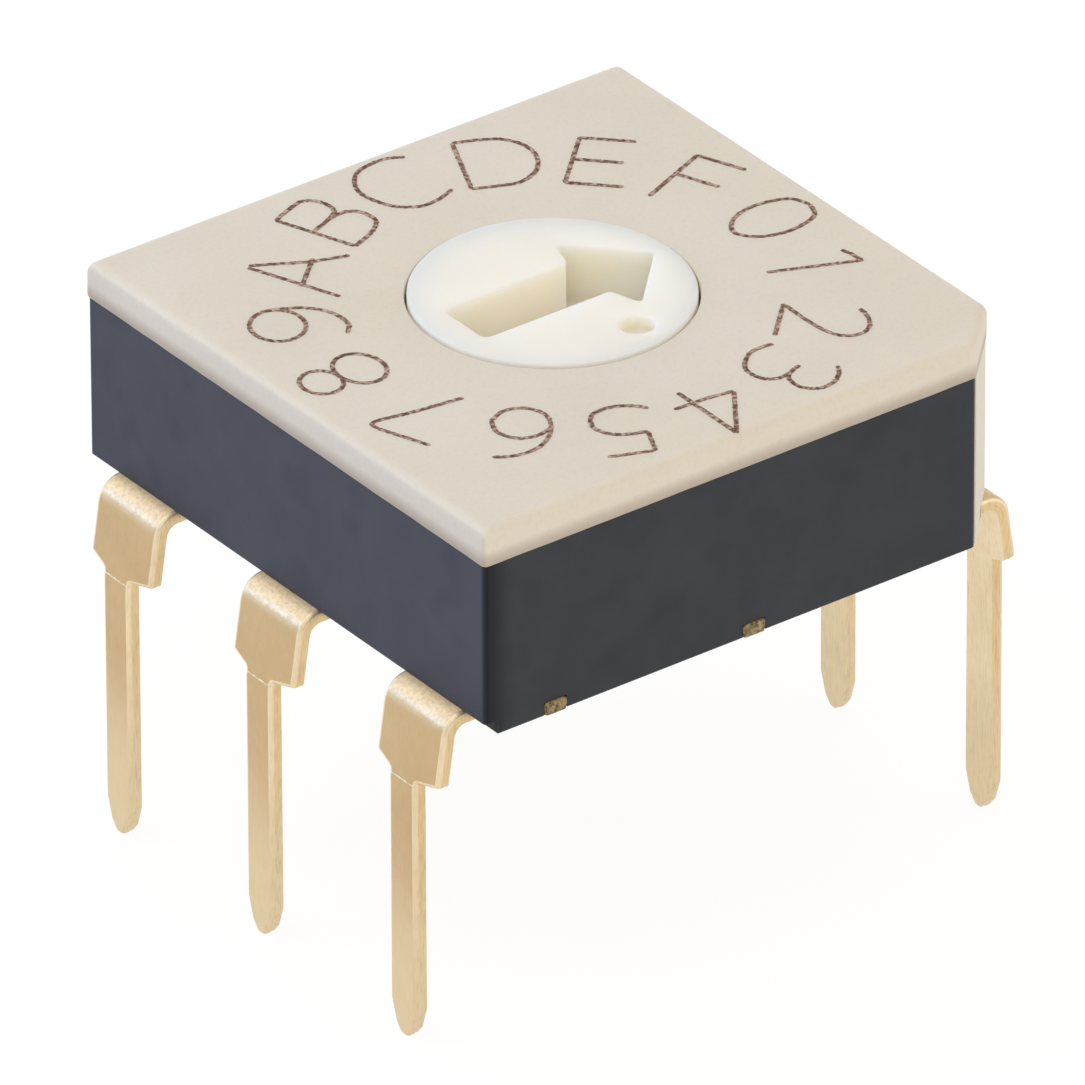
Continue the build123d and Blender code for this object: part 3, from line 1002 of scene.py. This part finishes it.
def add_stroke(bm, path, closed, spin, seed, rise):
    """Thin burnt strip along one stroke, turned to its place on the dial."""
    count = len(path)
    loops = []
    for i, point in enumerate(path):
        before = path[i - 1] if closed else path[max(i - 1, 0)]
        after = path[(i + 1) % count] if closed else path[min(i + 1, count - 1)]
        along = (after - before).normalized()
        across = Vector((-along.y, along.x))
        sides = []
        for side in (1, -1):
            flutter = noise.noise(Vector((i * 1.1, side * 5.0, seed)))
            end_taper = 1.0 if closed or 0 < i < count - 1 else 0.6
            sides.append(point + across * side * mark_half_width * end_taper * (1 + 0.5 * flutter))
        top = cover_top + rise
        low = cover_top - mark_root
        corners = [(sides[0], top), (sides[1], top), (sides[1], low), (sides[0], low)]
        loops.append([bm.verts.new((*(spin @ Vector((p.y, -p.x))), z)) for p, z in corners])
    add_wall(bm, loops + loops[:1] if closed else loops)
    if not closed:
        bm.faces.new(loops[0][::-1])
        bm.faces.new(loops[-1])


def make_marks():
    """The sixteen characters, clockwise from 0 at +X."""
    for index, (character, strokes) in enumerate(marks.items()):
        bm = bmesh.new()
        spin = Matrix.Rotation(-2 * pi * index / positions, 2)
        for number, (path, closed) in enumerate(strokes):
            add_stroke(bm, path, closed, spin, index + 0.1 * number, mark_rise * (1 + 0.3 * number))
        make_piece(f"dial_mark_{character}", bm, "housing", [burnt], crease=60)


make_cover()
make_rotor()
make_terminals()
make_marks()


# Floor, light and camera

floor_glow = 0.91


def make_floor():
    """Plain white floor under the terminal tips, lit a little from below like a light table."""
    finish = Finish("floor", {
        "Specular IOR Level": 0.0, "Roughness": 0.9,
        "Emission Color": (1.0, 0.995, 0.985, 1), "Emission Strength": floor_glow,
    })
    tone = finish.ramp(finish.noise(40.0, 2), (0.3, (0.11, 0.11, 0.11)), (0.7, (0.13, 0.13, 0.13)))
    finish.link(tone, "Base Color")
    bpy.ops.mesh.primitive_plane_add(size=4.0, location=(0, 0, 0))
    floor = bpy.context.object
    floor.name = "floor"
    floor.data.materials.append(finish.material)


def direction(azimuth, elevation):
    """Unit vector from the switch towards a place; azimuth 0 is -Y and 90 is +X, in degrees."""
    a, e = radians(azimuth), radians(elevation)
    return Vector((sin(a) * cos(e), -cos(a) * cos(e), sin(e)))


def add_softbox(name, azimuth, elevation, distance, size, radiance, colour):
    """Square soft light that faces the middle of the switch."""
    light = bpy.data.lights.new(name, "AREA")
    light.shape = "SQUARE"
    light.size = size * MM
    light.energy = radiance * pi * (size * MM) ** 2
    light.color = colour
    lamp = bpy.data.objects.new(name, light)
    towards = direction(azimuth, elevation)
    lamp.location = Vector((0, 0, 5 * MM)) + towards * distance * MM
    lamp.rotation_mode = "QUATERNION"
    lamp.rotation_quaternion = towards.to_track_quat("Z", "Y")
    lamp.visible_camera = False
    bpy.context.scene.collection.objects.link(lamp)


def make_light():
    """Light tent: a warm surround, a broad light overhead, two blue ones at the left and two warm in front."""
    world = bpy.data.worlds.new("surround")
    world.use_nodes = True
    background = world.node_tree.nodes["Background"]
    background.inputs["Color"].default_value = (0.69, 0.65, 0.585, 1)
    background.inputs["Strength"].default_value = 1.0
    bpy.context.scene.world = world
    add_softbox("overhead_light", -160, 65, 150, 160, 0.98, (0.74, 0.82, 0.98))
    add_softbox("left_light", -95, 20, 150, 110, 0.4, (0.42, 0.68, 1.0))
    add_softbox("back_left_light", -143, 20, 150, 110, 2.0, (0.38, 0.62, 1.0))
    add_softbox("right_light", 40, 15, 150, 110, 1.0, (1.0, 0.90, 0.76))
    add_softbox("front_light", -40, 42, 150, 110, 0.75, (1.0, 0.95, 0.87))
    bpy.context.scene.view_settings.view_transform = "Standard"


# Camera: a long lens, turned and tilted as in the photograph
camera_azimuth = -36.713
camera_elevation = 30.879
camera_roll = -0.231
camera_distance = 250.0
camera_lens = 785.46
sensor = 36.0
aim_right = -0.1136
aim_up = -0.4816


def make_camera():
    """Camera at the photograph's viewing angle, aimed near the middle of the base's underside."""
    data = bpy.data.cameras.new("camera")
    data.lens = camera_lens
    data.sensor_width = sensor
    data.clip_start = 10 * MM
    data.clip_end = 5.0
    camera = bpy.data.objects.new("camera", data)
    a, e, r = radians(camera_azimuth), radians(camera_elevation), radians(camera_roll)
    back = Vector((sin(a) * cos(e), -cos(a) * cos(e), sin(e)))
    level = Vector((cos(a), sin(a), 0))
    upright = back.cross(level)
    right = cos(r) * level + sin(r) * upright
    up = cos(r) * upright - sin(r) * level
    aim = Vector((0, 0, underside)) + aim_right * right + aim_up * up
    camera.matrix_world = Matrix.Translation((aim + back * camera_distance) * MM) @ Matrix(
        (right, up, back)
    ).transposed().to_4x4()
    bpy.context.scene.collection.objects.link(camera)
    bpy.context.scene.camera = camera


make_floor()
make_light()
make_camera()
